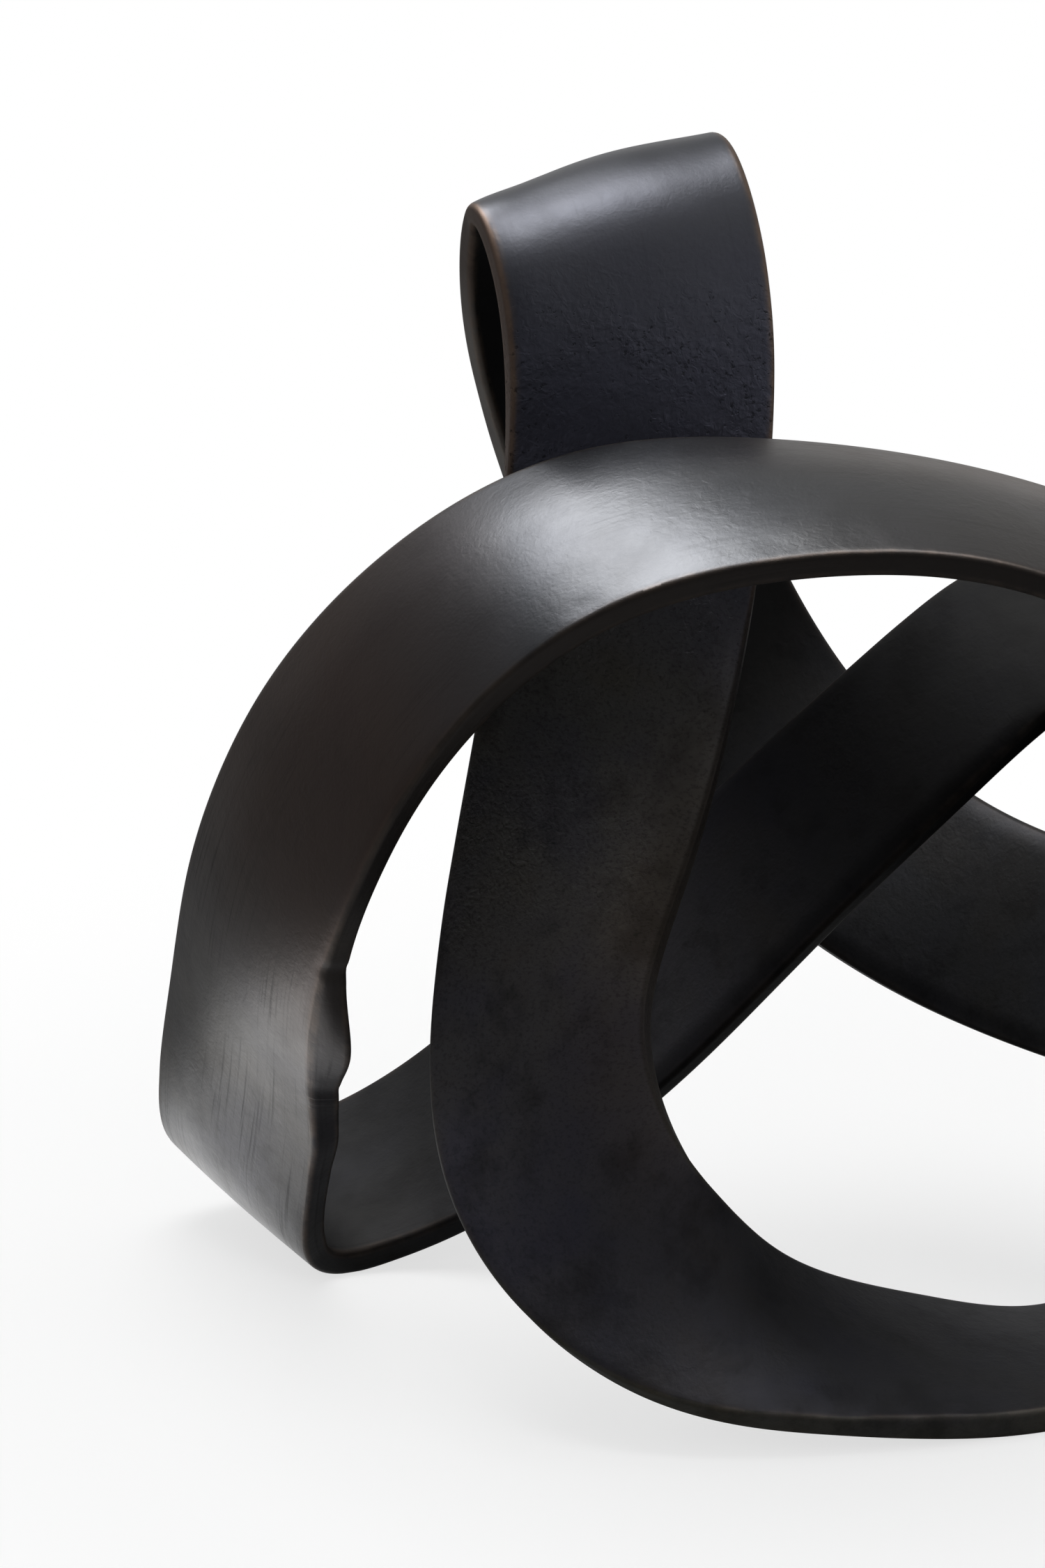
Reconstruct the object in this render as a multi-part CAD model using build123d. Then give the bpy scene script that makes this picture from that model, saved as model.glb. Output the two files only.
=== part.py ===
from build123d import *
import os
from math import cos, pi, radians, sin

import numpy as np

# Metal knot: one flat band in a closed three-crossing knot, made of short castings butt
# welded end to end and ground flush. Millimetres, +Z up, +Y to the back. The origin is in
# the middle of the floor that the knot stands on.

# Driving sizes
path_width = 210.0        # left-to-right unit of the middle line
path_depth = 130.0        # front-to-back unit of the middle line
path_height = 200.0       # height unit of the middle line
band_width = 43.0         # across the band
band_thickness = 5.5      # through the band
band_crown = 0.5          # how far the outer face stands proud in its middle
corner_radius = 1.1       # along the band's four long corners
weld_gap = 3.0            # root gap that a weld fills, along the band
foot_grind = 1.0          # depth ground off where the knot stands
section_pitch = 7.0       # spacing of the sections along the band

# The middle line, as a list of stations in the band's own order, which pull a smooth closed
# curve towards them: place as shares of the three path units (right, back, up), the turn of
# the line across the band (heading from +X and pitch, in degrees), and the width there as a
# share of band_width.
station_shares = [
    ((-0.160, 0.085, 1.033), (26, 12), 1.06),
    ((-0.119, -0.045, 0.932), (24, 0), 1.09),
    ((-0.120, -0.055, 0.780), (15, -3), 1.04),
    ((-0.137, -0.095, 0.620), (-12, -6), 0.98),
    ((-0.170, -0.180, 0.465), (-29, -2), 1.03),
    ((-0.207, -0.295, 0.335), (-34, 13), 0.97),
    ((-0.185, -0.400, 0.214), (-3, 24), 0.92),
    ((-0.100, -0.435, 0.120), (49, 47), 0.82),
    ((0.015, -0.380, 0.060), (101, 20), 0.84),
    ((0.145, -0.305, 0.027), (110, 10), 0.97),
    ((0.275, -0.185, 0.006), (129, -4), 0.95),
    ((0.375, -0.030, 0.040), (138, -10), 1.00),
    ((0.445, 0.165, 0.030), (138, -18), 1.00),
    ((0.470, 0.290, 0.180), (134, -18), 1.00),
    ((0.440, 0.300, 0.385), (127, -14), 1.00),
    ((0.341, 0.235, 0.573), (121, -2), 0.89),
    ((0.218, 0.124, 0.625), (122, 17), 0.84),
    ((0.104, 0.077, 0.517), (125, 29), 0.80),
    ((-0.013, 0.097, 0.391), (125, 36), 0.80),
    ((-0.127, 0.173, 0.242), (115, 36), 0.91),
    ((-0.235, 0.245, 0.130), (103, 30), 1.00),
    ((-0.350, 0.295, 0.033), (105, 13), 0.98),
    ((-0.480, 0.190, 0.020), (134, 11), 0.98),
    ((-0.442, 0.090, 0.200), (137, 24), 1.04),
    ((-0.437, -0.065, 0.347), (128, 28), 1.01),
    ((-0.386, -0.201, 0.512), (122, 33), 1.03),
    ((-0.302, -0.290, 0.655), (109, 30), 1.01),
    ((-0.171, -0.322, 0.768), (99, 23), 1.02),
    ((-0.005, -0.305, 0.789), (96, 12), 0.98),
    ((0.160, -0.265, 0.770), (97, 6), 0.96),
    ((0.310, -0.240, 0.699), (92, 12), 0.97),
    ((0.385, -0.200, 0.550), (82, 18), 1.00),
    ((0.395, -0.110, 0.409), (64, 40), 0.97),
    ((0.345, 0.035, 0.288), (42, 59), 0.89),
    ((0.229, 0.210, 0.280), (27, 61), 0.86),
    ((0.093, 0.335, 0.316), (36, 46), 0.86),
    ((-0.030, 0.425, 0.420), (38, 31), 0.97),
    ((-0.112, 0.415, 0.580), (36, 24), 1.00),
    ((-0.159, 0.340, 0.750), (32, 22), 1.00),
    ((-0.180, 0.245, 0.890), (27, 16), 1.01),
]

# Where each casting ends, as a share of the band's length, and the weld that follows it
end_shares = [
    ("top_fold", 0.048, "weld_front_leg_top"),
    ("front_leg", 0.168, "weld_bottom_left"),
    ("front_bend", 0.290, "weld_bottom_right"),
    ("outer_bend", 0.378, "weld_diagonal_top"),
    ("diagonal", 0.475, "weld_diagonal_foot"),
    ("left_bend", 0.565, "weld_left_curl"),
    ("arch_left", 0.676, "weld_arch_crown"),
    ("arch_right", 0.755, "weld_arch_right"),
    ("inner_bend", 0.835, "weld_rear_leg_foot"),
    ("rear_leg", 0.932, "weld_rear_leg_top"),
]


def closed_curve(rows, u):
    """Value and slope of the closed smooth curve that the rows pull, u rows along it."""
    i = int(u // 1)
    t = u - i
    a, b, c, d = (rows[(i + k) % len(rows)] for k in (-1, 0, 1, 2))
    value = ((1 - t) ** 3 * a + (3 * t ** 3 - 6 * t ** 2 + 4) * b
             + (1 + 3 * t + 3 * t ** 2 - 3 * t ** 3) * c + t ** 3 * d) / 6
    slope = (-(1 - t) ** 2 * a + (3 * t ** 2 - 4 * t) * b
             + (1 + 2 * t - 3 * t ** 2) * c + t ** 2 * d) / 2
    return value, slope


def ruling(heading, pitch):
    h, p = radians(heading), radians(pitch)
    return [cos(p) * cos(h), cos(p) * sin(h), sin(p)]


rows = []
for (right, back, up), (heading, pitch), width_share in station_shares:
    place = [right * path_width, back * path_depth, up * path_height]
    rows.append(place + ruling(heading, pitch) + [width_share * band_width])
rows = np.array(rows)

# Distance along the band against the place in the list
fine = np.linspace(0, len(rows), 40 * len(rows) + 1)
line = np.array([closed_curve(rows, u)[0][:3] for u in fine])
run = np.concatenate([[0], np.cumsum(np.linalg.norm(np.diff(line, axis=0), axis=1))])
band_length = run[-1]


def frame_at(s):
    """Middle point, directions along, across and out of the outer face, and the width."""
    value, slope = closed_curve(rows, np.interp(s % band_length, run, fine))
    along = slope[:3] / np.linalg.norm(slope[:3])
    across = value[3:6] - np.dot(value[3:6], along) * along
    across = across / np.linalg.norm(across)
    return value[:3], along, across, np.cross(along, across), value[6]


# The floor and the middle of the knot, from the band's long corners
corners = []
for s in np.arange(0, band_length, section_pitch / 4):
    middle, along, across, out, width = frame_at(s)
    for side in (-1, 1):
        for face in (-1, 1):
            corners.append(middle + across * side * width / 2 + out * face * band_thickness / 2)
corners = np.array(corners)
low, high = corners.min(axis=0), corners.max(axis=0)
shift = np.array([(low[0] + high[0]) / 2, (low[1] + high[1]) / 2, low[2] + foot_grind])


def section(s):
    """The band's outline: flat inside, slightly crowned outside, with rounded corners."""
    middle, along, across, out, width = frame_at(s)
    half, deep, r = width / 2, band_thickness / 2, corner_radius
    plane = Plane(origin=tuple(middle - shift), x_dir=tuple(across), z_dir=tuple(along))
    k = r * (1 - sin(pi / 4))
    rim = deep - band_crown
    outline = [
        Line((r - half, -deep), (half - r, -deep)),
        ThreePointArc((half - r, -deep), (half - k, k - deep), (half, r - deep)),
        Line((half, r - deep), (half, rim - r)),
        ThreePointArc((half, rim - r), (half - k, rim - k), (half - r, rim)),
        ThreePointArc((half - r, rim), (0, deep), (r - half, rim)),
        ThreePointArc((r - half, rim), (k - half, rim - k), (-half, rim - r)),
        Line((-half, rim - r), (-half, r - deep)),
        ThreePointArc((-half, r - deep), (k - half, k - deep), (r - half, -deep)),
    ]
    return plane * make_face(outline)


def band(first, last):
    """The length of band between two places along it."""
    count = max(2, int(round((last - first) / section_pitch)) + 1)
    return loft([section(s) for s in np.linspace(first, last, count)])


reach = path_width + path_depth + path_height
below = Pos(0, 0, -reach / 2) * Box(reach, reach, reach)

os.makedirs("parts", exist_ok=True)
begin = (end_shares[-1][1] - 1) * band_length + weld_gap / 2
for name, end_share, weld in end_shares:
    end = end_share * band_length - weld_gap / 2
    casting = band(begin, end)
    if casting.bounding_box().min.Z < 0:
        casting = casting - below
    begin = end + weld_gap
    export_step(casting, f"parts/{name}.step")
    export_step(band(end, begin), f"parts/{weld}.step")
    print(name, round(end_share * band_length), "mm", casting.is_valid)
print("box", low - shift, high - shift)
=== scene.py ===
import bpy
import bmesh
from bisect import bisect_right
from math import cos, pi, radians, sin
from mathutils import Matrix, Vector, noise


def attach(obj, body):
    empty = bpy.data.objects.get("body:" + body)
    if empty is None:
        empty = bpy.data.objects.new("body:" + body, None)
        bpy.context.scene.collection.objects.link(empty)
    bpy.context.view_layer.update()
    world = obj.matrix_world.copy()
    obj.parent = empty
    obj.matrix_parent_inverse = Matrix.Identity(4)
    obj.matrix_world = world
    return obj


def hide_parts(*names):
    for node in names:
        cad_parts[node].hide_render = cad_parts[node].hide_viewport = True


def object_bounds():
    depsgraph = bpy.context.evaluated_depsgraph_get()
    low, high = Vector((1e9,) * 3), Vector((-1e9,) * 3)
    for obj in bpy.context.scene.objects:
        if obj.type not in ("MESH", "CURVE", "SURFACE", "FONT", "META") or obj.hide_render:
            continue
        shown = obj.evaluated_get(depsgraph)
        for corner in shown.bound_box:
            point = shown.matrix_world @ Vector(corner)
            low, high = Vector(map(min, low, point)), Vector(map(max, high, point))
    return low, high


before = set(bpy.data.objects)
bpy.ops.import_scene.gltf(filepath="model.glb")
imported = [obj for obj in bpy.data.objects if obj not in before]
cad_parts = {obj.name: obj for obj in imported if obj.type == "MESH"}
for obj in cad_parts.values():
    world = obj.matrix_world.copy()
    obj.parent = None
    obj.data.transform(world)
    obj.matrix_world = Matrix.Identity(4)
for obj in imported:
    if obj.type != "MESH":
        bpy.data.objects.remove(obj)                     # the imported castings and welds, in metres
cadLow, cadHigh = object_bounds()
mm = 0.001
print("frame loaded:", len(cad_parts), "nodes")

# The band's path: stations in the band's own order pull one smooth closed curve
knotPath = {
    "unit": (210 * mm, 130 * mm, 200 * mm),   # right, back and up
    "bandWidth": 43 * mm,
    "bandThickness": 5.5 * mm,
    "crown": 0.5 * mm,                # how far the outer face stands proud in its middle
    "corner": 1.1 * mm,               # radius along the four long corners
    "weldGap": 3 * mm,
    "footGrind": 1 * mm,              # ground off where the knot stands
    "measureStep": 1.75 * mm,         # how finely the band is followed to find its lowest point
    "runSteps": 40,                   # steps from station to station when its length is measured
    "stations": [                     # place, (heading, pitch) across the band, width
        ((-0.160, 0.085, 1.033), (26, 12), 1.06),
        ((-0.119, -0.045, 0.932), (24, 0), 1.09),
        ((-0.120, -0.055, 0.780), (15, -3), 1.04),
        ((-0.137, -0.095, 0.620), (-12, -6), 0.98),
        ((-0.170, -0.180, 0.465), (-29, -2), 1.03),
        ((-0.207, -0.295, 0.335), (-34, 13), 0.97),
        ((-0.185, -0.400, 0.214), (-3, 24), 0.92),
        ((-0.100, -0.435, 0.120), (49, 47), 0.82),
        ((0.015, -0.380, 0.060), (101, 20), 0.84),
        ((0.145, -0.305, 0.027), (110, 10), 0.97),
        ((0.275, -0.185, 0.006), (129, -4), 0.95),
        ((0.375, -0.030, 0.040), (138, -10), 1.00),
        ((0.445, 0.165, 0.030), (138, -18), 1.00),
        ((0.470, 0.290, 0.180), (134, -18), 1.00),
        ((0.440, 0.300, 0.385), (127, -14), 1.00),
        ((0.341, 0.235, 0.573), (121, -2), 0.89),
        ((0.218, 0.124, 0.625), (122, 17), 0.84),
        ((0.104, 0.077, 0.517), (125, 29), 0.80),
        ((-0.013, 0.097, 0.391), (125, 36), 0.80),
        ((-0.127, 0.173, 0.242), (115, 36), 0.91),
        ((-0.235, 0.245, 0.130), (103, 30), 1.00),
        ((-0.350, 0.295, 0.033), (105, 13), 0.98),
        ((-0.480, 0.190, 0.020), (134, 11), 0.98),
        ((-0.442, 0.090, 0.200), (137, 24), 1.04),
        ((-0.437, -0.065, 0.347), (128, 28), 1.01),
        ((-0.386, -0.201, 0.512), (122, 33), 1.03),
        ((-0.302, -0.290, 0.655), (109, 30), 1.01),
        ((-0.171, -0.322, 0.768), (99, 23), 1.02),
        ((-0.005, -0.305, 0.789), (96, 12), 0.98),
        ((0.160, -0.265, 0.770), (97, 6), 0.96),
        ((0.310, -0.240, 0.699), (92, 12), 0.97),
        ((0.385, -0.200, 0.550), (82, 18), 1.00),
        ((0.395, -0.110, 0.409), (64, 40), 0.97),
        ((0.345, 0.035, 0.288), (42, 59), 0.89),
        ((0.229, 0.210, 0.280), (27, 61), 0.86),
        ((0.093, 0.335, 0.316), (36, 46), 0.86),
        ((-0.030, 0.425, 0.420), (38, 31), 0.97),
        ((-0.112, 0.415, 0.580), (36, 24), 1.00),
        ((-0.159, 0.340, 0.750), (32, 22), 1.00),
        ((-0.180, 0.245, 0.890), (27, 16), 1.01),
    ],
}


def pathRows(path):
    rows = []
    for place, (heading, pitch), width in path["stations"]:
        h, p = radians(heading), radians(pitch)
        middle = Vector([share * unit for share, unit in zip(place, path["unit"])])
        ruling = Vector((cos(p) * cos(h), cos(p) * sin(h), sin(p)))
        rows.append((middle, ruling, width * path["bandWidth"]))
    return rows


def pullCurve(rows, u):
    i = int(u // 1)
    t = u - i
    near = [rows[(i + k) % len(rows)] for k in (-1, 0, 1, 2)]
    weights = ((1 - t) ** 3, 3 * t ** 3 - 6 * t ** 2 + 4, 1 + 3 * t + 3 * t ** 2 - 3 * t ** 3, t ** 3)
    turns = (-(1 - t) ** 2, 3 * t ** 2 - 4 * t, 1 + 2 * t - 3 * t ** 2, t ** 2)
    middle = sum((w * row[0] for w, row in zip(weights, near)), Vector()) / 6
    slope = sum((w * row[0] for w, row in zip(turns, near)), Vector()) / 2
    ruling = sum((w * row[1] for w, row in zip(weights, near)), Vector()) / 6
    width = sum(w * row[2] for w, row in zip(weights, near)) / 6
    return middle, slope, ruling, width


def measureRun(rows, steps):
    run, last = [0.0], pullCurve(rows, 0)[0]
    for k in range(1, steps * len(rows) + 1):
        here = pullCurve(rows, k / steps)[0]
        run.append(run[-1] + (here - last).length)
        last = here
    return run


def bandAt(s):                        # middle, directions across, out and along, and width
    s = s % bandRun[-1]
    k = min(bisect_right(bandRun, s), len(bandRun) - 1)
    u = (k - 1 + (s - bandRun[k - 1]) / (bandRun[k] - bandRun[k - 1])) / knotPath["runSteps"]
    middle, slope, ruling, width = pullCurve(bandRows, u)
    along = slope.normalized()
    across = (ruling - ruling.dot(along) * along).normalized()
    return middle, across, along.cross(across), along, width


bandRows = pathRows(knotPath)
bandRun = measureRun(bandRows, knotPath["runSteps"])
bandLength = bandRun[-1]


def floorShift(path):                 # from the path's own origin to the middle of the floor
    ends = []
    for k in range(int(bandLength / path["measureStep"]) + 1):
        middle, across, out, along, width = bandAt(k * path["measureStep"])
        for side in (-1, 1):
            for face in (-1, 1):
                ends.append(middle + across * side * width / 2 + out * face * path["bandThickness"] / 2)
    low = Vector([min(e[k] for e in ends) for k in range(3)])
    high = Vector([max(e[k] for e in ends) for k in range(3)])
    return Vector(((low.x + high.x) / 2, (low.y + high.y) / 2, low.z + path["footGrind"]))


toFloor = floorShift(knotPath)
print("band path:", round(bandLength / mm), "mm round")


# The castings, in order round the knot: where each ends, as a share of the band's length,
# and the weld that follows it
castings = [
    ("top_fold", 0.048, "weld_front_leg_top"),
    ("front_leg", 0.168, "weld_bottom_left"),
    ("front_bend", 0.290, "weld_bottom_right"),
    ("outer_bend", 0.378, "weld_diagonal_top"),
    ("diagonal", 0.475, "weld_diagonal_foot"),
    ("left_bend", 0.565, "weld_left_curl"),
    ("arch_left", 0.676, "weld_arch_crown"),
    ("arch_right", 0.755, "weld_arch_right"),
    ("inner_bend", 0.835, "weld_rear_leg_foot"),
    ("rear_leg", 0.932, "weld_rear_leg_top"),
]

sweep = {
    "ringStep": 1.0 * mm,
    "cutsAcross": 40,
    "cutsThrough": 3,
    "cornerSteps": 4,
    "waves": [(26 * mm, 0.11 * mm), (9 * mm, 0.02 * mm)],   # length and height of the sanding's swells
    "waveShift": Vector((3, 7, 11)),
    "fadeShare": 0.012,               # how gently a crown or a soft edge starts and ends
}
hair = mm / 100                       # closer than this counts as the same place


def startRing(bm, path):              # the band's outline, crowned on its outer face
    half, deep = path["bandWidth"] / 2, path["bandThickness"] / 2
    rim = deep - path["crown"]
    corners = ((-half, -deep, 0), (half, -deep, 0), (half, rim, 0), (-half, rim, 0))
    points = [bm.verts.new(p) for p in corners]
    bm.faces.new(points)
    bmesh.ops.bevel(bm, geom=points, offset=path["corner"], offset_type="OFFSET", affect="VERTICES",
                    segments=sweep["cornerSteps"], profile=0.5, material=-1)
    bmesh.ops.delete(bm, geom=bm.faces[:], context="FACES_ONLY")
    wide = [e for e in bm.edges if e.calc_length() > half]
    bmesh.ops.subdivide_edges(bm, edges=wide, cuts=sweep["cutsAcross"])
    tall = [e for e in bm.edges if all(abs(v.co.x) > half - hair for v in e.verts)]
    bmesh.ops.subdivide_edges(bm, edges=tall, cuts=sweep["cutsThrough"])
    flat = half - path["corner"]
    for v in bm.verts:
        if v.co.y > rim - hair:
            v.co.y += path["crown"] * (1 - (v.co.x / flat) ** 2)


def sideways(x, y, path):             # the outline's own outward direction at a point
    half, deep, r = path["bandWidth"] / 2, path["bandThickness"] / 2, path["corner"]
    rim = deep - path["crown"]
    nx = max(0, abs(x) - (half - r)) / r * (1 if x > 0 else -1)
    ny = min(0, y + deep - r) / r + max(0, y - (rim - r)) / r
    if abs(nx) < 0.001 and y > 0:
        return Vector((2 * path["crown"] * x / (half - r) ** 2, 1, 0)).normalized()
    return Vector((nx, max(-1, min(1, ny)), 0)).normalized()


# Where the casting is fuller in the middle than the plain band: from and to, face, and how much
crowns = [
    {"run": (0.530, 0.790), "face": 1, "rise": 0.9 * mm},
]

# Where the sanding rounded an edge over: from and to, as shares of the band's length, the edge
# (-1 or 1 across), the face (1 outer, -1 inner), how far in it starts and how far it falls
softEdges = [
    {"run": (0.530, 0.790), "edge": 1, "face": 1, "reach": 16 * mm, "fall": 1.5 * mm},
    {"run": (0.530, 0.790), "edge": -1, "face": 1, "reach": 16 * mm, "fall": 0.4 * mm},
    {"run": (0.055, 0.150), "edge": 1, "face": 1, "reach": 7 * mm, "fall": 2.2 * mm},
    {"run": (0.100, 0.165), "edge": -1, "face": 1, "reach": 3 * mm, "fall": 0.5 * mm},
    {"run": (0.385, 0.480), "edge": -1, "face": -1, "reach": 5 * mm, "fall": 1.5 * mm},
    {"run": (0.385, 0.470), "edge": 1, "face": -1, "reach": 3 * mm, "fall": 0.7 * mm},
    {"run": (0.575, 0.650), "edge": -1, "face": 1, "reach": 3 * mm, "fall": 0.6 * mm},
    {"run": (0.800, 0.900), "edge": -1, "face": -1, "reach": 5 * mm, "fall": 1.5 * mm},
    {"run": (0.820, 0.885), "edge": 1, "face": -1, "reach": 5 * mm, "fall": 1.2 * mm},
    {"run": (0.955, 1.030), "edge": -1, "face": 1, "reach": 5 * mm, "fall": 0.8 * mm},
    {"run": (0.960, 1.030), "edge": 1, "face": 1, "reach": 20 * mm, "fall": 0.8 * mm},
]

# Single marks of the casting and the grinding: place along, half length, place and half width
# across, and how far the surface moves out of its face or sideways. A sideways mark with a face
# moves that face's corner and leaves the other one.
marks = [
    {"at": 0.995, "long": 36 * mm, "across": 0, "wide": 24 * mm, "face": 1, "out": 1.2 * mm},
    {"at": 0.995, "long": 80 * mm, "across": -22 * mm, "wide": 12 * mm, "side": -1.6 * mm},
    {"at": 0.575, "long": 46 * mm, "across": -22 * mm, "wide": 10 * mm, "side": 2.3 * mm, "face": 1},
    {"at": 0.575, "long": 46 * mm, "across": -24 * mm, "wide": 12 * mm, "side": -1.5 * mm, "face": -1},
    {"at": 0.5815, "long": 20 * mm, "across": -24 * mm, "wide": 12 * mm, "side": -5.0 * mm, "face": -1},
    {"at": 0.5955, "long": 3.0 * mm, "across": -22 * mm, "wide": 3 * mm, "side": 0.5 * mm},
    {"at": 0.568, "long": 3.0 * mm, "across": -22 * mm, "wide": 3 * mm, "side": 0.3 * mm},
    {"at": 0.556, "long": 9 * mm, "across": -22 * mm, "wide": 4 * mm, "side": -0.6 * mm},
    {"at": 0.667, "long": 5 * mm, "across": -19 * mm, "wide": 4 * mm, "face": 1, "out": -0.12 * mm},
    {"at": 0.692, "long": 6 * mm, "across": -18 * mm, "wide": 5 * mm, "face": 1, "out": -0.14 * mm},
    {"at": 0.703, "long": 4 * mm, "across": -19 * mm, "wide": 4 * mm, "face": 1, "out": -0.12 * mm},
    {"at": 0.180, "long": 9 * mm, "across": -21 * mm, "wide": 5 * mm, "face": 1, "out": -0.5 * mm},
    {"at": 0.193, "long": 7 * mm, "across": -21 * mm, "wide": 5 * mm, "face": 1, "out": 0.3 * mm},
]


def hump(distance, reach):            # 1 in the middle, 0 from reach on
    return 0.5 + 0.5 * cos(min(abs(distance) / reach, 1) * pi)


def rise(value, low, high):           # 0 up to low, 1 from high on
    t = min(max((value - low) / (high - low), 0), 1)
    return t * t * (3 - 2 * t)


def runMarks(s):                      # the crowns, soft edges and marks that reach one ring
    share = (s / bandLength) % 1
    soft, near = [], []
    for change in crowns + softEdges:
        first, last = change["run"]
        here = share + 1 if last > 1 and share < 0.5 else share
        soon = sweep["fadeShare"]
        fade = rise(here, first, first + soon) * (1 - rise(here, last - soon, last))
        if fade:
            soft.append((change, fade))
    for mark in marks:
        gap = (share - mark["at"] + 0.5) % 1 - 0.5
        weight = hump(gap * bandLength, mark["long"])
        if weight:
            near.append((mark, weight))
    return soft, near


def swell(p, x, y, soft, near):       # how the real surface strays from the true band: across, out
    half, deep = knotPath["bandWidth"] / 2, knotPath["bandThickness"] / 2
    depth = 0
    for length, height in sweep["waves"]:
        depth += height * (0.5 + 0.5 * noise.noise(p / length + sweep["waveShift"]))
    normal = sideways(x, y, knotPath)
    aside, out = -depth * normal.x, -depth * normal.y
    for change, fade in soft:
        fade *= change["face"] * max(0, y * change["face"] / deep)
        if "rise" in change:
            out += fade * change["rise"] * (1 - (x / half) ** 2)
        else:
            t = max(0, (x * change["edge"] - half + change["reach"]) / change["reach"])
            out -= fade * change["fall"] * t * t
    for mark, weight in near:
        share = weight * hump(x - mark["across"], mark["wide"])
        if "side" in mark:
            lean = 0.5 + 0.5 * mark["face"] * y / deep if "face" in mark else 1
            aside += mark["side"] * share * lean
        else:
            out += mark["face"] * mark["out"] * share * max(0, y * mark["face"] / deep)
    return Vector((aside, out, 0))


def sweepBand(name, first, last):
    bm = bmesh.new()
    startRing(bm, knotPath)
    layers = {key: bm.verts.layers.float.new(key) for key in ("bandAcross", "bandOut", "bandAlong")}
    for v in bm.verts:
        v[layers["bandAcross"]], v[layers["bandOut"]] = v.co.x, v.co.y
    steps = max(2, round((last - first) / sweep["ringStep"]))
    edges, ring = bm.edges[:], bm.verts[:]
    bmesh.ops.holes_fill(bm, edges=edges, sides=0)
    half = knotPath["bandWidth"] / 2
    for k in range(steps + 1):
        s = first + (last - first) * k / steps
        middle, across, out, along, width = bandAt(s)
        turn = Matrix((across, out, along)).transposed()
        soft, near = runMarks(s)
        if k:
            grown = bmesh.ops.extrude_edge_only(bm, edges=edges)["geom"]
            ring = [g for g in grown if isinstance(g, bmesh.types.BMVert)]
            fresh = set(ring)
            edges = [g for g in grown if isinstance(g, bmesh.types.BMEdge) and fresh.issuperset(g.verts)]
        for v in ring:
            x, y = v[layers["bandAcross"]], v[layers["bandOut"]]
            v[layers["bandAlong"]] = s
            p = middle - toFloor + turn @ Vector((x * width / (2 * half), y, 0))
            v.co = p + turn @ swell(p, x, y, soft, near)
    bmesh.ops.holes_fill(bm, edges=edges, sides=0)
    if min(v.co.z for v in bm.verts) < 0:
        cut = bmesh.ops.bisect_plane(bm, geom=bm.verts[:] + bm.edges[:] + bm.faces[:], dist=1e-7,
                                     plane_co=(0, 0, 0), plane_no=(0, 0, -1), clear_outer=True)
        rims = [g for g in cut["geom_cut"] if isinstance(g, bmesh.types.BMEdge)]
        bmesh.ops.holes_fill(bm, edges=rims, sides=0)
    bmesh.ops.recalc_face_normals(bm, faces=bm.faces)
    for f in bm.faces:
        f.smooth = len(f.verts) < 5
        if not f.smooth:
            for e in f.edges:
                e.smooth = False
    for v in bm.verts:
        v.co = Vector([min(max(c, a), b) for c, a, b in zip(v.co, cadLow, cadHigh)])
    mesh = bpy.data.meshes.new(name)
    bm.to_mesh(mesh)
    bm.free()
    piece = bpy.data.objects.new(name, mesh)
    bpy.context.collection.objects.link(piece)
    return piece


def linear(hexColour):
    parts = [int(hexColour[k:k + 2], 16) / 255 for k in (1, 3, 5)]
    return [c / 12.92 if c <= 0.04045 else ((c + 0.055) / 1.055) ** 2.4 for c in parts] + [1]


def addNode(tree, kind, settings=None, links=None):
    node = tree.nodes.new(kind)
    for key, value in (settings or {}).items():
        if key == "stops":            # a ramp's places with their values or colours
            points = node.color_ramp.elements
            while len(points) < len(value):
                points.new(0.5)
            for point, (place, stop) in zip(points, value):
                point.position = place
                point.color = linear(stop) if isinstance(stop, str) else [stop] * 3 + [1]
        elif isinstance(key, int) or key in node.inputs:
            node.inputs[key].default_value = value
        else:
            setattr(node, key, value)
    for key, source in (links or {}).items():
        socket = source.outputs[0] if isinstance(source, bpy.types.Node) else source
        tree.links.new(socket, node.inputs[key])
    return node


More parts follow.
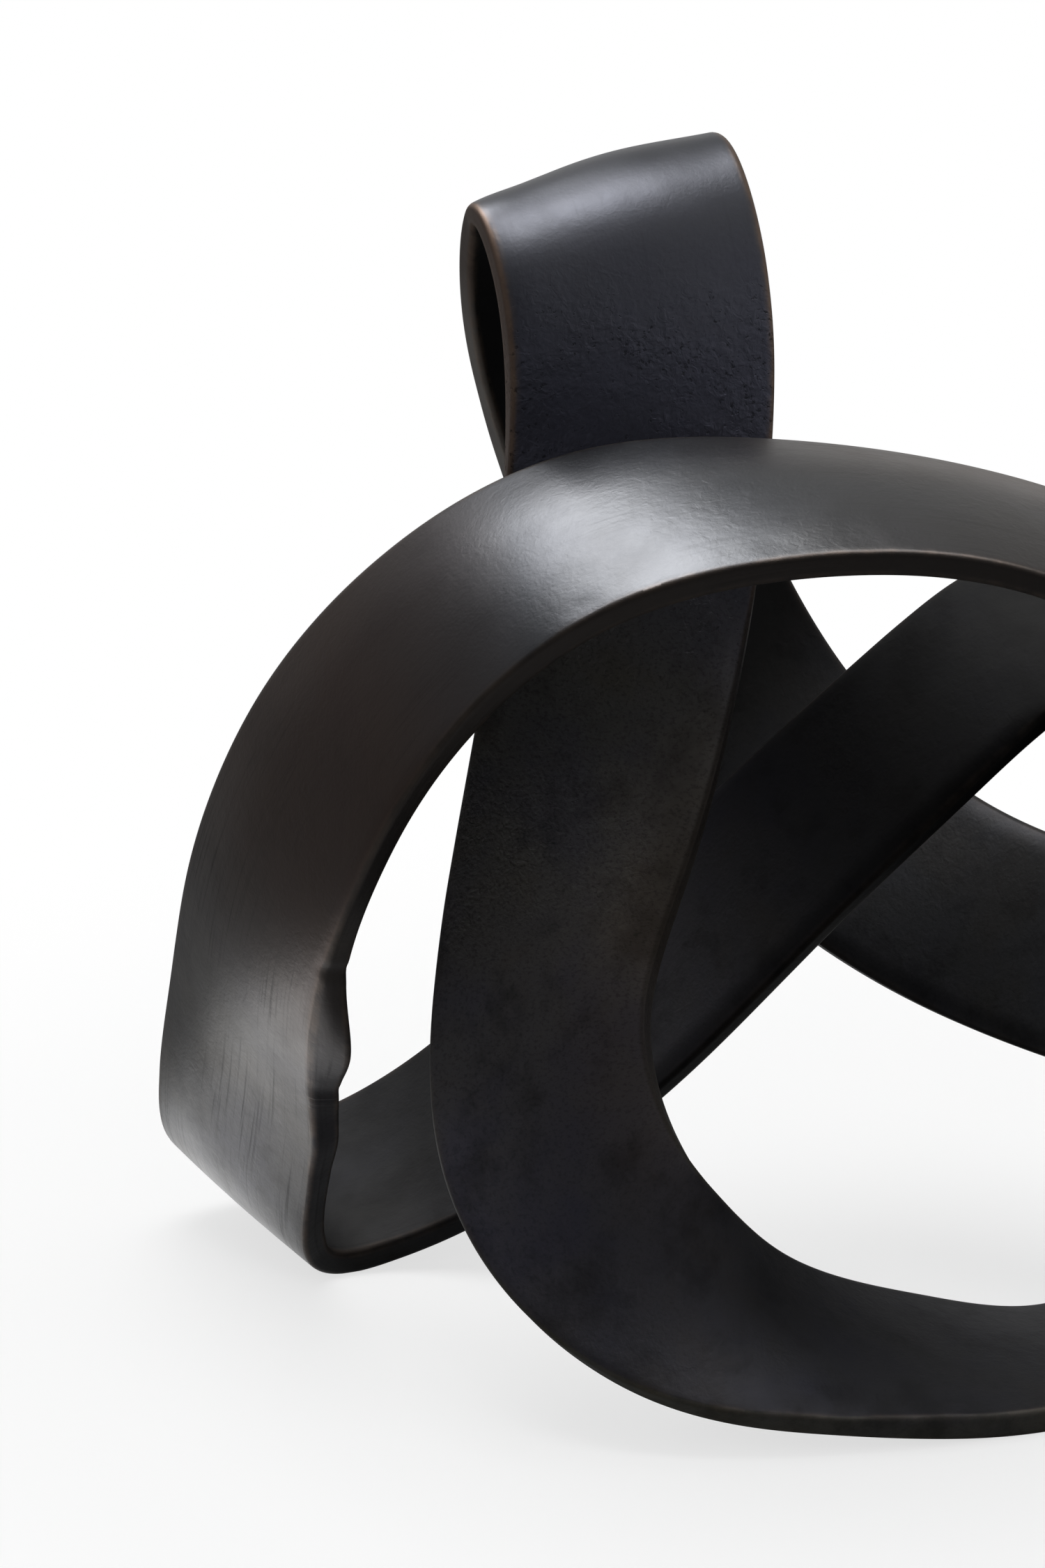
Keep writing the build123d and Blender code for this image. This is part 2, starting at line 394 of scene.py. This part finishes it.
# Sand cast aluminium, blackened and waxed: the casting's skin keeps fine grain, wrinkles and
# open pits where it wasn't sanded, long fine sanding streaks run with the band, and the wax over
# the dark metal gives a soft satin sheen. In the lists of tints and runs, each entry is a share of
# the band's length with a colour or an amount; some tints are painted light and shade, as each says.
blackenedAluminium = {
    "outerTintsAndShade": [                   # the outer face, sanded and blacked; darker on the front bend as painted shade from the arch above
        (0.00, "#3B3C40"), (0.012, "#3B3C41"), (0.03, "#40414C"), (0.05, "#3E3E48"), (0.07, "#504F4E"),
        (0.10, "#3F3D3C"), (0.14, "#38373C"), (0.17, "#1B1B1E"), (0.22, "#1C1C1E"), (0.30, "#303135"),
        (0.40, "#3B3938"), (0.52, "#3C3D3F"), (0.57, "#3E3C3B"), (0.60, "#3F3531"), (0.63, "#3F3531"),
        (0.66, "#393A3D"), (0.69, "#3A3B3D"), (0.74, "#3F3B38"), (0.86, "#393A3C"), (0.96, "#3A3B40"),
    ],
    "innerTintsAndShade": [                   # the inner face keeps its dull cast skin under more blacking; its darkest stops, at the diagonal's top and the left bend, are painted shade under the arch
        (0.00, "#1C1C1E"), (0.38, "#090909"), (0.41, "#0F0F10"), (0.45, "#2C2B2E"), (0.48, "#2A2A2C"),
        (0.50, "#0D0D0E"), (0.53, "#0D0D0E"), (0.60, "#1C1C1E"), (0.80, "#2E2E30"), (0.88, "#2E2E30"),
        (0.91, "#161617"),
    ],
    "edgeTintsLightAndShade": [                    # the edges: bronze wear and painted light on the top fold's front edge, pale painted light on its rear edge, painted shade on the diagonal and the left bend
        (0.00, "#55473F"), (0.04, "#55473F"), (0.065, "#242323"), (0.13, "#2A2A2A"), (0.16, "#3E3D39"),
        (0.25, "#3A3936"), (0.37, "#101011"), (0.47, "#101011"), (0.53, "#1C1C1D"), (0.56, "#232226"),
        (0.60, "#2E2A28"), (0.76, "#2A2726"), (0.82, "#151516"), (0.91, "#2A2A2B"), (0.945, "#6E6A66"),
        (0.975, "#6E6A66"), (0.99, "#4A3F39"),
    ],
    "edgeBlend": (1.1 * mm, 0.4 * mm),        # how far in from the edge its tint starts and is full
    "clouds": (26 * mm, 11 * mm),     # the blacking's clouds, large and small
    "coolCloud": "#E2E4FF", "warmCloud": "#FFF7E6", "darkCloud": "#9C9A9A",
    "cloudRuns": [                    # how cloudy the blacking is
        (0.00, 0.08), (0.05, 0.15), (0.07, 0.60), (0.52, 0.60), (0.55, 0.35), (0.60, 0.22), (0.66, 0.06),
        (0.70, 0.08), (0.74, 0.20), (0.80, 0.50), (0.93, 0.50), (0.97, 0.08),
    ],
    "bronze": "#6F5E50",              # shows where the blacking is worn through; on the arch's upper side also painted light
    "bronzeAndLightFrom": -2 * mm,            # across the band, where the broad wear and painted light start
    "bronzeAndLightRuns": [                   # broad wear and painted light on the arch's upper side, painted light on the front leg's right half
        (0.00, 0.0), (0.055, 0.0), (0.08, 0.10), (0.13, 0.10), (0.16, 0.0), (0.68, 0.0), (0.70, 0.20),
        (0.73, 0.45), (0.76, 0.25), (0.79, 0.0),
    ],
    "cornerRuns": [                   # thin wear along the long corners
        (0.00, 0.4), (0.04, 0.35), (0.06, 0.08), (0.50, 0.06), (0.57, 0.25), (0.61, 0.12), (0.75, 0.12),
        (0.79, 0.04), (0.93, 0.08), (0.97, 0.4),
    ],
    "cornerBlend": (1.8 * mm, 0.7 * mm),      # the thin wear's reach in from the edge
    "faceBlend": (1.6 * mm, 0.7 * mm),        # and down from the face
    "wear": 5 * mm,                   # size of the worn spots
    "metallic": 0.85,                 # the blacking over the metal is part oxide, part lacquer
    "roughness": (0.28, 0.36),
    "dullRuns": [                     # how much duller than the sanded arch
        (0.00, 0.02), (0.02, 0.06), (0.06, 0.14), (0.12, 0.20), (0.17, 0.26), (0.30, 0.26), (0.38, 0.15),
        (0.50, 0.08), (0.56, 0.04), (0.60, 0.0), (0.76, 0.0), (0.80, 0.08), (0.96, 0.04),
    ],
    "duller": (0.28, 0.10, 0.3, 0.25),        # more on the inner face, edges, pits and scratches
    "grain": (0.55 * mm, 0.020 * mm, 0.012 * mm),   # size, height on rough skin and everywhere; drawn
                                                    # coarser than the real sand, to show
    "wrinkle": (1.6 * mm, 0.24 * mm, 0.0192 * mm),  # size, height on pitted skin and everywhere
    "pits": (1.05 * mm, 0.035 * mm),          # spacing and depth
    "pitShake": (0.7 * mm, 1.5 * mm),         # how finely and how far their rims stray
    "pitPatch": 8 * mm,
    "pitShadeAndMarkTint": "#0A0A0B",             # the painted shade that darkens a pit, and the dark of the sand marks and streaks
    "pitShade": 0.6,
    "pitRuns": [                      # how pitted the skin is
        (0.00, 0.0), (0.013, 0.0), (0.018, 0.45), (0.024, 1.0), (0.05, 1.0), (0.07, 0.60), (0.09, 0.45),
        (0.12, 0.20), (0.30, 0.20), (0.40, 0.2), (0.52, 0.15), (0.62, 0.05), (0.66, 0.04), (0.69, 0.16),
        (0.74, 0.14), (0.80, 0.2), (0.90, 0.35), (0.97, 0.1),
    ],
    "specks": (0.55 * mm, 0.34, 0.7),         # sand marks: size, depth of colour, how drawn out across
    "speckRuns": [                    # how sandy the skin is
        (0.00, 0.0), (0.02, 0.3), (0.055, 0.6), (0.065, 1.0), (0.12, 1.0), (0.16, 0.45), (0.30, 0.5),
        (0.50, 0.5), (0.56, 0.25), (0.60, 0.1), (0.78, 0.15), (0.82, 0.5), (0.93, 0.5), (0.98, 0.1),
    ],
    "streak": (30 * mm, 0.7 * mm, 0.010 * mm),      # length, spacing and height
    "streakPatch": 32 * mm,
    "streakShade": 0.45,
    "streakRuns": [                   # how much the sanding shows
        (0.00, 0.15), (0.10, 0.1), (0.50, 0.3), (0.535, 1.0), (0.60, 0.8), (0.68, 0.5), (0.80, 0.15),
    ],
}

# Weld metal ground flush and blackened with the rest: the same satin black, with the grinder's
# short marks across the band, which show on its edges
groundWeld = dict(blackenedAluminium, mark=(1.1 * mm, 0.10 * mm))


def blackened(name, look):
    material = bpy.data.materials.new(name)
    material.use_nodes = True
    tree = material.node_tree
    shader = tree.nodes["Principled BSDF"]
    shader.inputs["Metallic"].default_value = look["metallic"]
    half, deep = knotPath["bandWidth"] / 2, knotPath["bandThickness"] / 2
    times, timesPlus = {"operation": "MULTIPLY"}, {"operation": "MULTIPLY_ADD"}
    smooth, tinted = {"interpolation_type": "SMOOTHSTEP"}, {"data_type": "RGBA"}
    spot = addNode(tree, "ShaderNodeTexCoord").outputs["Object"]
    along = addNode(tree, "ShaderNodeAttribute", {"attribute_name": "bandAlong"}).outputs["Fac"]
    across = addNode(tree, "ShaderNodeAttribute", {"attribute_name": "bandAcross"}).outputs["Fac"]
    out = addNode(tree, "ShaderNodeAttribute", {"attribute_name": "bandOut"}).outputs["Fac"]
    laid = addNode(tree, "ShaderNodeCombineXYZ", {}, {"X": along, "Y": across, "Z": out})
    share = addNode(tree, "ShaderNodeMath", {"operation": "DIVIDE", 1: bandLength}, {0: along})
    share = addNode(tree, "ShaderNodeMath", {"operation": "FRACT"}, {0: share})

    # where on the band's outline: inner face, edge, long corner, and the outer face's upper side
    aside = addNode(tree, "ShaderNodeMath", {"operation": "ABSOLUTE"}, {0: across})
    proud = addNode(tree, "ShaderNodeMath", {"operation": "ABSOLUTE"}, {0: out})
    inner = addNode(tree, "ShaderNodeMapRange",
                    {**smooth, "From Min": -deep * 0.5, "From Max": -deep * 0.9}, {"Value": out})
    starts, ends = look["edgeBlend"]
    byEdge = addNode(tree, "ShaderNodeMapRange",
                     {**smooth, "From Min": half - starts, "From Max": half - ends}, {"Value": aside})
    starts, ends = look["cornerBlend"]
    nearEdge = addNode(tree, "ShaderNodeMapRange",
                       {**smooth, "From Min": half - starts, "From Max": half - ends}, {"Value": aside})
    starts, ends = look["faceBlend"]
    nearFace = addNode(tree, "ShaderNodeMapRange",
                       {**smooth, "From Min": deep - starts, "From Max": deep - ends}, {"Value": proud})
    corner = addNode(tree, "ShaderNodeMath", times, {0: nearEdge, 1: nearFace})
    upper = addNode(tree, "ShaderNodeMapRange",
                    {**smooth, "From Min": look["bronzeAndLightFrom"], "From Max": half}, {"Value": across})

    # the base tints, with the painted shade and light that their lists carry
    outerTintAndShade = addNode(tree, "ShaderNodeValToRGB", {"stops": look["outerTintsAndShade"]}, {0: share})
    innerTintAndShade = addNode(tree, "ShaderNodeValToRGB", {"stops": look["innerTintsAndShade"]}, {0: share})
    edgeTintLightAndShade = addNode(tree, "ShaderNodeValToRGB", {"stops": look["edgeTintsLightAndShade"]}, {0: share})
    colour = addNode(tree, "ShaderNodeMix", tinted, {0: inner, 6: outerTintAndShade, 7: innerTintAndShade})
    colour = addNode(tree, "ShaderNodeMix", tinted, {0: byEdge, 6: colour.outputs[2], 7: edgeTintLightAndShade})

    # clouds in the blacking: large ones cool or warm, small ones dark
    large, small = look["clouds"]
    cloud = addNode(tree, "ShaderNodeTexNoise", {"Scale": 1 / large, "Detail": 4, "Roughness": 0.6},
                    {"Vector": spot})
    cool = addNode(tree, "ShaderNodeMapRange", {**smooth, "From Min": 0.48, "From Max": 0.68},
                   {"Value": cloud})
    warm = addNode(tree, "ShaderNodeMapRange", {**smooth, "From Min": 0.50, "From Max": 0.34},
                   {"Value": cloud})
    mottle = addNode(tree, "ShaderNodeTexNoise", {"Scale": 1 / small, "Detail": 5, "Roughness": 0.65},
                     {"Vector": spot})
    murky = addNode(tree, "ShaderNodeMapRange", {**smooth, "From Min": 0.45, "From Max": 0.70},
                    {"Value": mottle})
    cloudRun = addNode(tree, "ShaderNodeValToRGB", {"stops": look["cloudRuns"]}, {0: share})
    for amount, tint in ((cool, "coolCloud"), (warm, "warmCloud"), (murky, "darkCloud")):
        amount = addNode(tree, "ShaderNodeMath", times, {0: amount, 1: cloudRun})
        colour = addNode(tree, "ShaderNodeMix", {**tinted, "blend_type": "MULTIPLY", 7: linear(look[tint])},
                         {0: amount, 6: colour.outputs[2]})

    # bronze: thin wear on the corners; broad on the arch's upper side as wear and painted light,
    # and on the front leg's right half as painted light
    wear = addNode(tree, "ShaderNodeTexNoise", {"Scale": 1 / look["wear"], "Detail": 5, "Roughness": 0.65},
                   {"Vector": spot})
    wornSpot = addNode(tree, "ShaderNodeMapRange", {**smooth, "From Min": 0.30, "From Max": 0.65},
                       {"Value": wear})
    broadWearAndLightRun = addNode(tree, "ShaderNodeValToRGB", {"stops": look["bronzeAndLightRuns"]}, {0: share})
    broadWearAndLight = addNode(tree, "ShaderNodeMath", times, {0: upper, 1: broadWearAndLightRun})
    thinRun = addNode(tree, "ShaderNodeValToRGB", {"stops": look["cornerRuns"]}, {0: share})
    thin = addNode(tree, "ShaderNodeMath", times, {0: corner, 1: thinRun})
    bronzeShare = addNode(tree, "ShaderNodeMath", times, {0: thin, 1: wornSpot})
    bronzeShare = addNode(tree, "ShaderNodeMath", {"operation": "MAXIMUM"}, {0: bronzeShare, 1: broadWearAndLight})
    colour = addNode(tree, "ShaderNodeMix", {**tinted, 7: linear(look["bronze"])},
                     {0: bronzeShare, 6: colour.outputs[2]})

    # casting skin: open pits in patches, their size by chance and their rims shaken out of round
    pitRun = addNode(tree, "ShaderNodeValToRGB", {"stops": look["pitRuns"]}, {0: share})
    patch = addNode(tree, "ShaderNodeTexNoise", {"Scale": 1 / look["pitPatch"], "Detail": 3},
                    {"Vector": spot})
    patch = addNode(tree, "ShaderNodeMapRange",
                    {**smooth, "From Min": 0.36, "From Max": 0.56, "To Min": 0.40}, {"Value": patch})
    pitted = addNode(tree, "ShaderNodeMath", times, {0: pitRun, 1: patch})
    pitGap, pitDeep = look["pits"]
    shakeSize, shakeFar = look["pitShake"]
    shake = addNode(tree, "ShaderNodeTexNoise", {"Scale": 1 / shakeSize, "Detail": 2}, {"Vector": spot})
    shaken = addNode(tree, "ShaderNodeVectorMath", {**timesPlus, 1: [shakeFar] * 3},
                     {0: shake.outputs["Color"], 2: spot})
    cell = addNode(tree, "ShaderNodeTexVoronoi", {"Scale": 1 / pitGap, "Randomness": 1}, {"Vector": shaken})
    chance = addNode(tree, "ShaderNodeSeparateColor", {}, {"Color": cell.outputs["Color"]})
    reach = addNode(tree, "ShaderNodeMapRange",
                    {**smooth, "From Min": 0.05, "From Max": 1, "To Max": 0.58}, {"Value": chance})
    reach = addNode(tree, "ShaderNodeMath", {**timesPlus, 2: 0.01}, {0: reach, 1: pitted})
    hole = addNode(tree, "ShaderNodeMath", {"operation": "DIVIDE"}, {0: cell.outputs["Distance"], 1: reach})
    hole = addNode(tree, "ShaderNodeMapRange", {**smooth, "From Min": 1.0, "From Max": 0.25},
                   {"Value": hole})
    pit = addNode(tree, "ShaderNodeMath", times, {0: hole, 1: pitRun})
    # painted shade: each pit is darkened as if shaded inside
    pitPaintedShade = addNode(tree, "ShaderNodeMath", {**times, 1: look["pitShade"]}, {0: pit})
    colour = addNode(tree, "ShaderNodeMix", {**tinted, 7: linear(look["pitShadeAndMarkTint"])},
                     {0: pitPaintedShade, 6: colour.outputs[2]})

    # dark sand marks, longer across the band than along it
    speckSize, speckDark, speckDrawn = look["specks"]
    lay = addNode(tree, "ShaderNodeVectorMath", {**times, 1: (1, speckDrawn, 1)}, {0: laid})
    speck = addNode(tree, "ShaderNodeTexNoise", {"Scale": 1 / speckSize, "Detail": 2, "Roughness": 0.7},
                    {"Vector": lay})
    speck = addNode(tree, "ShaderNodeMapRange",
                    {**smooth, "From Min": 0.48, "From Max": 0.68, "To Max": speckDark}, {"Value": speck})
    speckRun = addNode(tree, "ShaderNodeValToRGB", {"stops": look["speckRuns"]}, {0: share})
    speck = addNode(tree, "ShaderNodeMath", times, {0: speck, 1: speckRun})
    colour = addNode(tree, "ShaderNodeMix", {**tinted, 7: linear(look["pitShadeAndMarkTint"])},
                     {0: speck, 6: colour.outputs[2]})

    # sanding streaks: noise drawn out along the band, in patches
    streakLong, streakWide, streakHigh = look["streak"]
    drawn = addNode(tree, "ShaderNodeVectorMath",
                    {**times, 1: (1 / streakLong, 1 / streakWide, 1 / streakWide)}, {0: laid})
    streak = addNode(tree, "ShaderNodeTexNoise", {"Scale": 1, "Detail": 3, "Roughness": 0.6},
                     {"Vector": drawn})
    streakRun = addNode(tree, "ShaderNodeValToRGB", {"stops": look["streakRuns"]}, {0: share})
    sanded = addNode(tree, "ShaderNodeTexNoise", {"Scale": 1 / look["streakPatch"], "Detail": 2},
                     {"Vector": spot})
    sanded = addNode(tree, "ShaderNodeMapRange", {**smooth, "From Min": 0.36, "From Max": 0.60},
                     {"Value": sanded})
    sanded = addNode(tree, "ShaderNodeMath", times, {0: sanded, 1: streakRun})
    scratch = addNode(tree, "ShaderNodeMapRange",
                      {**smooth, "From Min": 0.50, "From Max": 0.72, "To Max": look["streakShade"]},
                      {"Value": streak})
    scratch = addNode(tree, "ShaderNodeMath", times, {0: scratch, 1: sanded})
    colour = addNode(tree, "ShaderNodeMix", {**tinted, 7: linear(look["pitShadeAndMarkTint"])},
                     {0: scratch, 6: colour.outputs[2]})
    tree.links.new(colour.outputs[2], shader.inputs["Base Color"])

    # roughness: the unsanded skin, the inner face and the edges are duller, the pits dullest
    low, high = look["roughness"]
    rough = addNode(tree, "ShaderNodeMapRange",
                    {"From Min": 0.3, "From Max": 0.7, "To Min": low, "To Max": high}, {"Value": mottle})
    dullRun = addNode(tree, "ShaderNodeValToRGB", {"stops": look["dullRuns"]}, {0: share})
    rough = addNode(tree, "ShaderNodeMath", {"operation": "ADD"}, {0: rough, 1: dullRun})
    for amount, more in zip((inner, byEdge, pit, scratch), look["duller"]):
        rough = addNode(tree, "ShaderNodeMath", {**timesPlus, 1: more}, {0: amount, 2: rough})
    tree.links.new(rough.outputs[0], shader.inputs["Roughness"])

    # heights add up in metres, so one bump with a distance of one metre takes them all
    grainSize, grainHigh, grainEvery = look["grain"]
    wrinkleSize, wrinkleHigh, wrinkleEvery = look["wrinkle"]
    grain = addNode(tree, "ShaderNodeTexNoise", {"Scale": 1 / grainSize, "Detail": 2, "Roughness": 0.6},
                    {"Vector": spot})
    grainRun = addNode(tree, "ShaderNodeMath", {**timesPlus, 1: grainHigh, 2: grainEvery}, {0: speckRun})
    height = addNode(tree, "ShaderNodeMath", times, {0: grain, 1: grainRun})
    wrinkle = addNode(tree, "ShaderNodeTexNoise", {"Scale": 1 / wrinkleSize, "Detail": 3, "Distortion": 0.6},
                      {"Vector": spot})
    wrinkleRun = addNode(tree, "ShaderNodeMath", {**timesPlus, 1: wrinkleHigh, 2: wrinkleEvery}, {0: pitted})
    height = addNode(tree, "ShaderNodeMath", timesPlus, {0: wrinkle, 1: wrinkleRun, 2: height})
    height = addNode(tree, "ShaderNodeMath", {**timesPlus, 1: -pitDeep}, {0: pit, 2: height})
    ridge = addNode(tree, "ShaderNodeMath", times, {0: streak, 1: sanded})
    height = addNode(tree, "ShaderNodeMath", {**timesPlus, 1: streakHigh}, {0: ridge, 2: height})
    if "mark" in look:
        markGap, markDeep = look["mark"]
        line = addNode(tree, "ShaderNodeTexNoise",
                       {"noise_dimensions": "1D", "Scale": 1 / markGap, "Detail": 1}, {"W": along})
        line = addNode(tree, "ShaderNodeMath", times, {0: line, 1: byEdge})
        height = addNode(tree, "ShaderNodeMath", {**timesPlus, 1: markDeep}, {0: line, 2: height})
    bump = addNode(tree, "ShaderNodeBump", {"Strength": 1, "Distance": 1}, {"Height": height})
    tree.links.new(bump.outputs[0], shader.inputs["Normal"])
    return material


castBlack = blackened("sand cast aluminium, blackened and waxed", blackenedAluminium)
weldBlack = blackened("weld metal ground flush, blackened", groundWeld)

begin = (castings[-1][1] - 1) * bandLength + knotPath["weldGap"] / 2
for name, endShare, weld in castings:
    end = endShare * bandLength - knotPath["weldGap"] / 2
    casting = sweepBand("cast_" + name, begin, end)
    casting.data.materials.append(castBlack)
    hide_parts(name)
    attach(casting, "root")
    begin = end + knotPath["weldGap"]
    bead = sweepBand("ground_" + weld, end, begin)
    bead.data.materials.append(weldBlack)
    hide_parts(weld)
    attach(bead, "root")
    print("made", name, "and", weld)

# The photograph's view, in millimetres
view = {
    "cameraAt": (-2.7, -1247.5, 501.2), "cameraAim": (-45.3, -11.2, 99.1), "lens": 176.8, "sight": 20,
}

camera = bpy.data.objects.new("camera", bpy.data.cameras.new("camera"))
scene = bpy.context.scene
scene.collection.objects.link(camera)
camera.location = Vector(view["cameraAt"]) * mm
toAim = Vector(view["cameraAim"]) * mm - camera.location
camera.rotation_euler = toAim.to_track_quat("-Z", "Y").to_euler()
camera.data.lens = view["lens"]
camera.data.clip_end = view["sight"]
scene.camera = camera

# White card floor, in metres: it burns out to plain white away from the knot, and keeps a soft
# shadow under it. In the metal it shows a painted pool of light glowing at the left, and is dim elsewhere.
whiteCard = {
    "reach": 3, "colour": "#F6F6F6", "roughness": 0.8,
    "shadowKept": 0.32, "shadowReach": (0.13, 0.28),
    # the painted pool of light seen in the metal: its middle, reach, glow, and the dim glow elsewhere
    "litMiddle": (-0.135, 0.018, 0), "litReach": (0.022, 0.068), "litGlow": 3.0, "dimGlow": 0.22,
}

bm = bmesh.new()
bmesh.ops.create_grid(bm, x_segments=1, y_segments=1, size=whiteCard["reach"])
mesh = bpy.data.meshes.new("floor")
bm.to_mesh(mesh)
bm.free()
floor = bpy.data.objects.new("floor", mesh)
scene.collection.objects.link(floor)

cardWhite = bpy.data.materials.new("white card floor")
cardWhite.use_nodes = True
tree = cardWhite.node_tree
card = tree.nodes["Principled BSDF"]
card.inputs["Base Color"].default_value = linear(whiteCard["colour"])
card.inputs["Roughness"].default_value = whiteCard["roughness"]
smooth, larger = {"interpolation_type": "SMOOTHSTEP"}, {"operation": "MAXIMUM"}
here = addNode(tree, "ShaderNodeTexCoord").outputs["Object"]
seen = addNode(tree, "ShaderNodeLightPath").outputs
inShine = addNode(tree, "ShaderNodeMath", larger,
                  {0: seen["Is Glossy Ray"], 1: seen["Is Transmission Ray"]})
bySight = addNode(tree, "ShaderNodeMath", larger, {0: seen["Is Camera Ray"], 1: inShine})
far = addNode(tree, "ShaderNodeVectorMath", {"operation": "LENGTH"}, {0: here}).outputs["Value"]
near, wide = whiteCard["shadowReach"]
burnt = addNode(tree, "ShaderNodeMapRange",
                {**smooth, "From Min": near, "From Max": wide, "To Min": 1 - whiteCard["shadowKept"]},
                {"Value": far})
white = addNode(tree, "ShaderNodeMath", {"operation": "MULTIPLY"}, {0: burnt, 1: bySight})
# painted pool of light: in the metal the card glows round this middle and dimly elsewhere
fromLit = addNode(tree, "ShaderNodeVectorMath", {"operation": "DISTANCE", 1: whiteCard["litMiddle"]},
                  {0: here}).outputs["Value"]
near, wide = whiteCard["litReach"]
lit = addNode(tree, "ShaderNodeMapRange", {
    **smooth, "From Min": near, "From Max": wide, "To Min": whiteCard["litGlow"],
    "To Max": whiteCard["dimGlow"]}, {"Value": fromLit})
glowing = addNode(tree, "ShaderNodeMix", {"data_type": "FLOAT", 3: 1.0}, {0: seen["Is Camera Ray"], 2: lit})
shine = addNode(tree, "ShaderNodeEmission", {"Color": (1, 1, 1, 1)}, {"Strength": glowing})
blend = addNode(tree, "ShaderNodeMixShader", {}, {0: white, 1: card, 2: shine})
tree.links.new(blend.outputs[0], tree.nodes["Material Output"].inputs["Surface"])
floor.data.materials.append(cardWhite)

# The lamp, in metres and watts
softbox = {"at": (-0.22, 0.14, 1.2), "aim": (0, 0, 0.1), "size": (0.8, 0.6), "power": 7}

lamp = bpy.data.lights.new("overhead softbox", "AREA")
lamp.shape = "RECTANGLE"
lamp.size, lamp.size_y = softbox["size"]
lamp.energy = softbox["power"]
holder = bpy.data.objects.new("overhead softbox", lamp)
holder.location = softbox["at"]
down = Vector(softbox["aim"]) - Vector(softbox["at"])
holder.rotation_euler = down.to_track_quat("-Z", "Y").to_euler()
scene.collection.objects.link(holder)

# The studio round the knot: white to the camera, a plain grey for soft light, and in the metal two
# overhead scrims, a faint one behind, pale walls behind and at the right, and the dark room on the
# camera's side
studioRoom = {
    "ambient": 0.50,
    "walls": [(0.0, 0.14), (0.25, 0.30), (0.62, 0.28), (0.85, 0.36), (0.97, 0.5)],   # front to back
    "rightWall": 0.45, "rightReach": (0.3, 0.95),
    "scrims": [                       # direction, brightness, degrees to its full and faded parts
        {"to": (-0.450, 0.355, 0.819), "bright": 15.0, "spread": (5, 22)},
        {"to": (0.215, -0.083, 0.973), "bright": 12.5, "spread": (6, 20)},
        {"to": (0.027, 0.766, 0.643), "bright": 0.2, "spread": (15, 40)},
    ],
}

world = bpy.data.worlds.new("studio")
scene.world = world
world.use_nodes = True
tree = world.node_tree
added = {"operation": "ADD"}
toward = addNode(tree, "ShaderNodeTexCoord").outputs["Generated"]
ways = addNode(tree, "ShaderNodeSeparateXYZ", {}, {"Vector": toward}).outputs
back = addNode(tree, "ShaderNodeMapRange", {"From Min": -1, "From Max": 1}, {"Value": ways["Y"]})
glow = addNode(tree, "ShaderNodeValToRGB", {"stops": studioRoom["walls"]}, {0: back})
near, wide = studioRoom["rightReach"]
right = addNode(tree, "ShaderNodeMapRange",
                {**smooth, "From Min": near, "From Max": wide, "To Max": studioRoom["rightWall"]},
                {"Value": ways["X"]})
glow = addNode(tree, "ShaderNodeVectorMath", added, {0: glow, 1: right})
for scrim in studioRoom["scrims"]:
    full, faded = [cos(radians(turn)) for turn in scrim["spread"]]
    lined = addNode(tree, "ShaderNodeVectorMath",
                    {"operation": "DOT_PRODUCT", 1: Vector(scrim["to"]).normalized()},
                    {0: toward}).outputs["Value"]
    lamplit = addNode(tree, "ShaderNodeMapRange",
                      {**smooth, "From Min": faded, "From Max": full, "To Max": scrim["bright"]},
                      {"Value": lined})
    glow = addNode(tree, "ShaderNodeVectorMath", added, {0: glow, 1: lamplit})
plain = tree.nodes["Background"]
plain.inputs["Color"].default_value = (1, 1, 1, 1)
plain.inputs["Strength"].default_value = studioRoom["ambient"]
inMetal = addNode(tree, "ShaderNodeBackground", {"Strength": 1}, {"Color": glow})
toCamera = addNode(tree, "ShaderNodeBackground", {"Color": (1, 1, 1, 1), "Strength": 1})
seen = addNode(tree, "ShaderNodeLightPath").outputs
inShine = addNode(tree, "ShaderNodeMath", larger,
                  {0: seen["Is Glossy Ray"], 1: seen["Is Transmission Ray"]})
room = addNode(tree, "ShaderNodeMixShader", {}, {0: inShine, 1: plain, 2: inMetal})
room = addNode(tree, "ShaderNodeMixShader", {}, {0: seen["Is Camera Ray"], 1: room, 2: toCamera})
tree.links.new(room.outputs[0], tree.nodes["World Output"].inputs["Surface"])
print("studio set")

scene.view_settings.view_transform = "Standard"
print("scene done")
